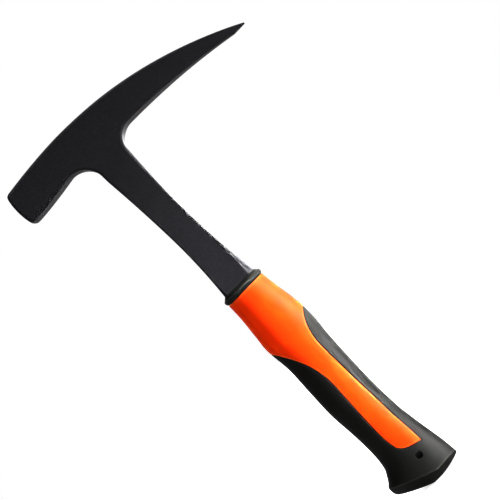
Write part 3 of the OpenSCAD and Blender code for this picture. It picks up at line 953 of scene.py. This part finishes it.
def bore_radius(nt, tc):
    """Distance from the lanyard hole's axis."""
    sep = nt.nodes.new("ShaderNodeSeparateXYZ")
    nt.links.new(tc.outputs["Object"], sep.inputs[0])
    com = nt.nodes.new("ShaderNodeCombineXYZ")
    nt.links.new(sep.outputs[0], com.inputs[0])
    nt.links.new(sep.outputs[2], com.inputs[2])
    d = nt.nodes.new("ShaderNodeVectorMath")
    d.operation = "DISTANCE"
    nt.links.new(com.outputs[0], d.inputs[0])
    d.inputs[1].default_value = ((AXIS_X + LANYARD_X) / 1000, 0, LANYARD_Z / 1000)
    return d.outputs["Value"]


def powder_coat():
    mat, nt, bsdf, tc = material("black_powder_coat")
    fine = noise(nt, tc, 1500, 2.5, 0.6)
    mid = noise(nt, tc, 420, 3.0, 0.55)
    broad = noise(nt, tc, 26, 3.0, 0.5)
    col = ramp(nt, fine, [(0.30, (0.0160, 0.0156, 0.0183)), (0.52, (0.0212, 0.0206, 0.0243)), (0.70, (0.0295, 0.0287, 0.0333))])
    # painted edge highlight: a lighter grey where the mesh's highlight attribute is set
    nt.links.new(painted_highlight_colour(nt, tc, col, (0.040, 0.040, 0.044), 0.5), bsdf.inputs["Base Color"])
    r = nt.nodes.new("ShaderNodeMath")
    r.operation = "ADD"
    nt.links.new(map_range(nt, broad, 0.3, 0.7, 0.52, 0.60), r.inputs[0])
    nt.links.new(map_range(nt, fine, 0.3, 0.7, -0.04, 0.06), r.inputs[1])
    nt.links.new(r.outputs[0], bsdf.inputs["Roughness"])
    n1 = bump(nt, mid, 0.012, 0.00025)
    n2 = bump(nt, fine, 0.06, 0.00010, n1)
    nt.links.new(n2, bsdf.inputs["Normal"])
    bsdf.inputs["Specular IOR Level"].default_value = 0.2
    return mat


def orange_plastic():
    mat, nt, bsdf, tc = material("orange_moulded_plastic")
    grain = noise(nt, tc, 2100, 2.0, 0.5)
    mid = noise(nt, tc, 160, 3.0, 0.5)
    broad = noise(nt, tc, 30, 2.0, 0.5)
    col = ramp(nt, broad, [(0.3, (0.90, 0.063, 0.0010)), (0.7, (0.94, 0.071, 0.0013))])
    # painted edge highlight: a lighter orange where the mesh's highlight attribute is set
    nt.links.new(painted_highlight_colour(nt, tc, col, (1.0, 0.22, 0.05), 0.7), bsdf.inputs["Base Color"])
    nt.links.new(map_range(nt, mid, 0.3, 0.7, 0.48, 0.58), bsdf.inputs["Roughness"])
    n1 = bump(nt, mid, 0.04, 0.0003)
    n2 = bump(nt, grain, 0.06, 0.00008, n1)
    nt.links.new(n2, bsdf.inputs["Normal"])
    bsdf.inputs["Specular IOR Level"].default_value = 0.12
    bsdf.inputs["Subsurface Weight"].default_value = 0.4
    bsdf.inputs["Subsurface Radius"].default_value = (1.0, 0.3, 0.1)
    bsdf.inputs["Subsurface Scale"].default_value = 0.003
    return mat


def soft_rubber(name="black_soft_rubber", base=(0.0092, 0.0095, 0.0084)):
    mat, nt, bsdf, tc = material(name)
    grain = noise(nt, tc, 1700, 3.0, 0.6)
    mid = noise(nt, tc, 240, 3.0, 0.5)
    broad = noise(nt, tc, 22, 3.0, 0.5)
    lo = tuple(c * 0.82 for c in base)
    hi = tuple(c * 1.25 for c in base)
    col = ramp(nt, grain, [(0.3, lo), (0.7, hi)])
    # painted shade: the lanyard hole's wall is coloured near-black and its specular turned down
    rad = bore_radius(nt, tc)
    m = nt.nodes.new("ShaderNodeMix")
    m.data_type = "RGBA"
    nt.links.new(map_range(nt, rad, 0.00203, 0.00211, 0.0, 1.0), m.inputs["Factor"])
    m.inputs[6].default_value = (0.0012, 0.0012, 0.0011, 1)
    # painted edge highlight: a lighter grey where the mesh's highlight attribute is set
    nt.links.new(painted_highlight_colour(nt, tc, col, (0.075, 0.077, 0.068), 0.7), m.inputs[7])
    nt.links.new(m.outputs[2], bsdf.inputs["Base Color"])
    r = nt.nodes.new("ShaderNodeMath")
    r.operation = "ADD"
    nt.links.new(map_range(nt, broad, 0.3, 0.7, 0.56, 0.68), r.inputs[0])
    nt.links.new(map_range(nt, grain, 0.3, 0.7, -0.04, 0.04), r.inputs[1])
    nt.links.new(r.outputs[0], bsdf.inputs["Roughness"])
    n1 = bump(nt, mid, 0.025, 0.0003)
    n2 = bump(nt, grain, 0.2, 0.00012, n1)
    nt.links.new(n2, bsdf.inputs["Normal"])
    # painted shade in the lanyard hole: little specular on its wall
    nt.links.new(map_range(nt, rad, 0.00203, 0.00211, 0.02, 0.25), bsdf.inputs["Specular IOR Level"])
    return mat


def put(ob, mat, *nodes, slot=None):
    ob.data.materials.clear()
    ob.data.materials.append(mat)
    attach(ob, "root")
    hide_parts(*nodes)


coat = powder_coat()
plastic = orange_plastic()
rubber_mat = soft_rubber()
collar_mat = soft_rubber("black_collar_rubber", (0.0170, 0.0178, 0.0160))

forging_ob = forging()
put(forging_ob, coat, "hammer_forging", slot="black_coated_steel")
core_ob, rubber_ob = grip()
put(core_ob, plastic, "grip_core", slot="orange_plastic")
put(rubber_ob, rubber_mat, "grip_overmould", slot="black_rubber")
collar_ob = collar()
put(collar_ob, collar_mat, "shank_collar", slot="black_rubber")

# ---------------------------------------------------------------------------
# Floor, world, light and camera
# ---------------------------------------------------------------------------
scene = bpy.context.scene
lo, hi = cad_box
target = Vector((AXIS_X * 0.001 + 0.0175, 0.0, 0.1635))


FLOOR_GLOW, FLOOR_SEEN = 0.05, (0.70, 1.0)


def floor():
    n = 96
    rings = [0.0, 0.1, 0.25, 0.5, 0.9, 1.6, 3.0]
    bm = bmesh.new()
    c = bm.verts.new((0, 0, 0))
    prev = None
    for r in rings[1:]:
        cur = [bm.verts.new((r * math.cos(2 * math.pi * k / n), r * math.sin(2 * math.pi * k / n), 0)) for k in range(n)]
        for k in range(n):
            if prev is None:
                bm.faces.new((c, cur[k], cur[(k + 1) % n]))
            else:
                bm.faces.new((prev[k], cur[k], cur[(k + 1) % n], prev[(k + 1) % n]))
        prev = cur
    mesh = bpy.data.meshes.new("studio_floor")
    bm.to_mesh(mesh)
    bm.free()
    ob = bpy.data.objects.new("studio_floor", mesh)
    scene.collection.objects.link(ob)
    ob.location.z = float(lo.z) - 0.0002
    mat, nt, bsdf, tc = material("pale_floor")
    f = noise(nt, tc, 9, 3.0, 0.5)
    nt.links.new(ramp(nt, f, [(0.35, (0.80, 0.80, 0.80)), (0.65, (0.83, 0.83, 0.83))]), bsdf.inputs["Base Color"])
    bsdf.inputs["Roughness"].default_value = 0.7
    bsdf.inputs["Specular IOR Level"].default_value = 0.2
    bsdf.inputs["Emission Color"].default_value = (1, 1, 1, 1)
    path = nt.nodes.new("ShaderNodeLightPath")
    dist = nt.nodes.new("ShaderNodeVectorMath")
    dist.operation = "LENGTH"
    nt.links.new(tc.outputs["Object"], dist.inputs[0])
    seen = map_range(nt, dist.outputs["Value"], 0.16, 0.7, *FLOOR_SEEN)
    pick = nt.nodes.new("ShaderNodeMix")
    pick.data_type = "FLOAT"
    nt.links.new(path.outputs["Is Camera Ray"], pick.inputs["Factor"])
    pick.inputs["A"].default_value = FLOOR_GLOW
    nt.links.new(seen, pick.inputs["B"])
    nt.links.new(pick.outputs["Result"], bsdf.inputs["Emission Strength"])
    mesh.materials.append(mat)
    return ob


floor()

world = bpy.data.worlds.new("studio")
scene.world = world
world.use_nodes = True
nt = world.node_tree
nt.nodes.clear()
wo = nt.nodes.new("ShaderNodeOutputWorld")
mixer = nt.nodes.new("ShaderNodeMixShader")
lp = nt.nodes.new("ShaderNodeLightPath")
amb = nt.nodes.new("ShaderNodeBackground")
amb.inputs["Color"].default_value = (1, 1, 1, 1)
amb.inputs["Strength"].default_value = 0.04
bg = nt.nodes.new("ShaderNodeBackground")
bg.inputs["Color"].default_value = (1, 1, 1, 1)
bg.inputs["Strength"].default_value = 1.0
nt.links.new(lp.outputs["Is Camera Ray"], mixer.inputs[0])
nt.links.new(amb.outputs[0], mixer.inputs[1])
nt.links.new(bg.outputs[0], mixer.inputs[2])
nt.links.new(mixer.outputs[0], wo.inputs["Surface"])


def area(name, loc, aim, size, power, size_y=None, spread=None):
    l = bpy.data.lights.new(name, "AREA")
    l.energy = power
    l.size = size
    if size_y:
        l.shape = "RECTANGLE"
        l.size_y = size_y
    if spread:
        l.spread = math.radians(spread)
    o = bpy.data.objects.new(name, l)
    o.location = loc
    o.rotation_mode = "QUATERNION"
    o.rotation_quaternion = (Vector(aim) - Vector(loc)).to_track_quat("-Z", "Y")
    o.visible_camera = False
    scene.collection.objects.link(o)
    return o


area("key", (1.16, -0.43, 0.16), (0.0, 0.0, 0.097), 0.42, 1.9, size_y=0.25, spread=12)
area("main", (-0.20, -0.90, 0.95), (0.012, 0.0, 0.295), 0.5, 0.48, spread=19)
area("fill", (-0.60, -1.20, 0.30), (0.0, 0.0, 0.15), 0.9, 0.02)
area("behind", (0.60, 0.85, 0.10), (0.0, 0.0, 0.28), 0.4, 0.6, size_y=0.2, spread=20)
area("under", (0.24, -0.16, 0.012), (0.0, 0.0, 0.26), 0.26, 0.75, size_y=0.2)
area("rear", (0.10, 1.30, 0.80), (0.0, 0.0, 0.15), 0.9, 10)
area("side", (-0.62, 1.20, 0.35), (0.0, 0.0, 0.15), 0.9, 4)
area("top", (0.10, 0.30, 1.30), (0.0, 0.0, 0.27), 0.5, 0.8, spread=40)

cam_data = bpy.data.cameras.new("camera")
cam = bpy.data.objects.new("camera", cam_data)
scene.collection.objects.link(cam)
D = 0.85
WIDTH = 0.2794
cam_data.sensor_width = 36.0
cam_data.lens = 36.0 * D / WIDTH
cam_data.clip_start = 0.01
cam_data.clip_end = 20
right = Vector((1, 0, -1)).normalized()
up = Vector((1, 0, 1)).normalized()
back = right.cross(up)  # from the target towards the camera
rot = Matrix((right, up, back)).transposed()
cam.matrix_world = Matrix.Translation(target + back * D) @ rot.to_4x4()
scene.camera = cam

scene.view_settings.view_transform = "Standard"
scene.view_settings.look = "None"
scene.view_settings.exposure = 0.0
scene.view_settings.gamma = 0.72
